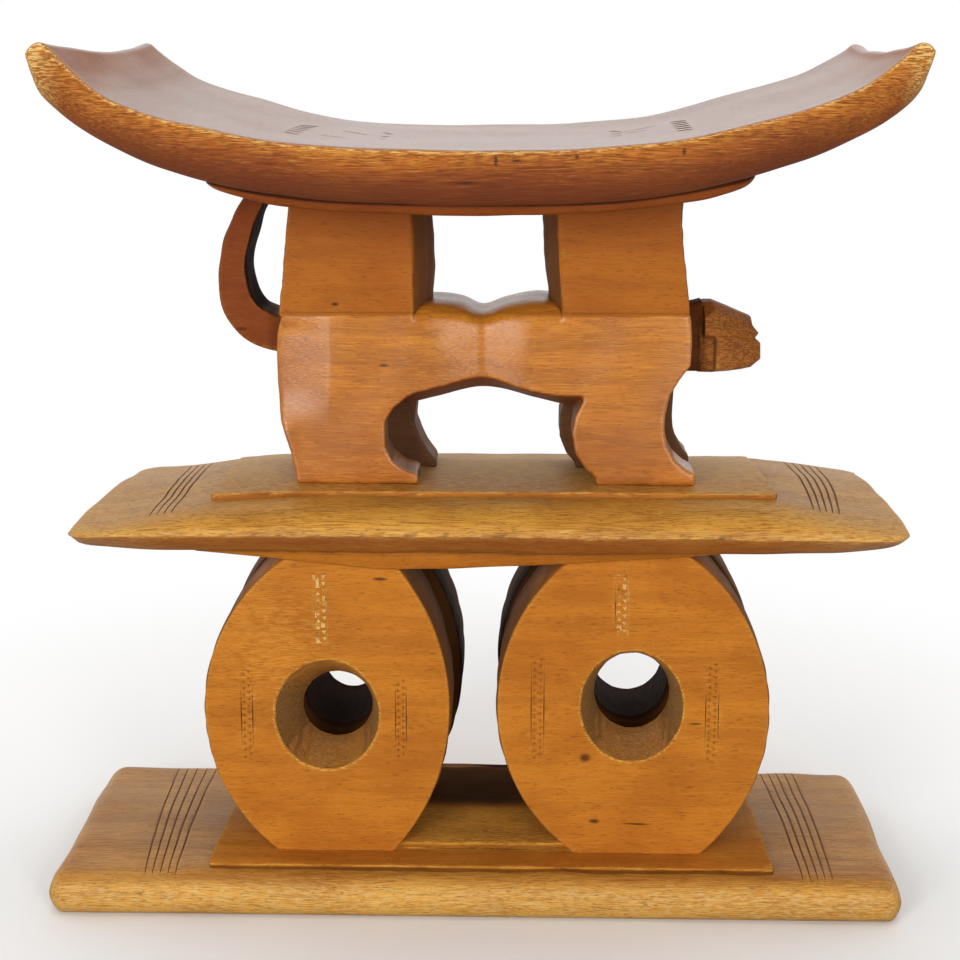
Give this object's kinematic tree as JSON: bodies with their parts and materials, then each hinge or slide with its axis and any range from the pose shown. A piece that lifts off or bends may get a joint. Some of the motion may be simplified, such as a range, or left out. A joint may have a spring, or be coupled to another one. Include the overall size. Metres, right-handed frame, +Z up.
{
  "type": "carved wooden stool",
  "caption": "Two-tier carved wooden stool: saddle seat on two pillars carried by a four-legged animal, over a lens-shaped board on pierced discs and a stepped base.",
  "frame": {"origin": "centre of the stool's footprint, on the underside of the base board", "axes": "+X along the stool's length towards the animal's head, +Y from the front to the rear, +Z up"},
  "size_m": [0.438, 0.21, 0.449],
  "materials": {
    "carved_wood": "satin"
  },
  "bodies": {
    "root": {"base_board": "carved_wood", "base_step_plate": "carved_wood", "base_center_pad": "carved_wood", "disc_front_left": "carved_wood", "disc_front_right": "carved_wood", "disc_rear_left": "carved_wood", "disc_rear_right": "carved_wood", "middle_under_plate": "carved_wood", "middle_board": "carved_wood", "middle_top_plate": "carved_wood", "hind_leg_near": "carved_wood", "hind_leg_far": "carved_wood", "fore_leg_near": "carved_wood", "fore_leg_far": "carved_wood", "animal_body": "carved_wood", "animal_neck": "carved_wood", "animal_head": "carved_wood", "animal_tail": "carved_wood", "pillar_left": "carved_wood", "pillar_right": "carved_wood", "seat_under_plate": "carved_wood", "seat_board": "carved_wood"}
  },
  "joints": []
}
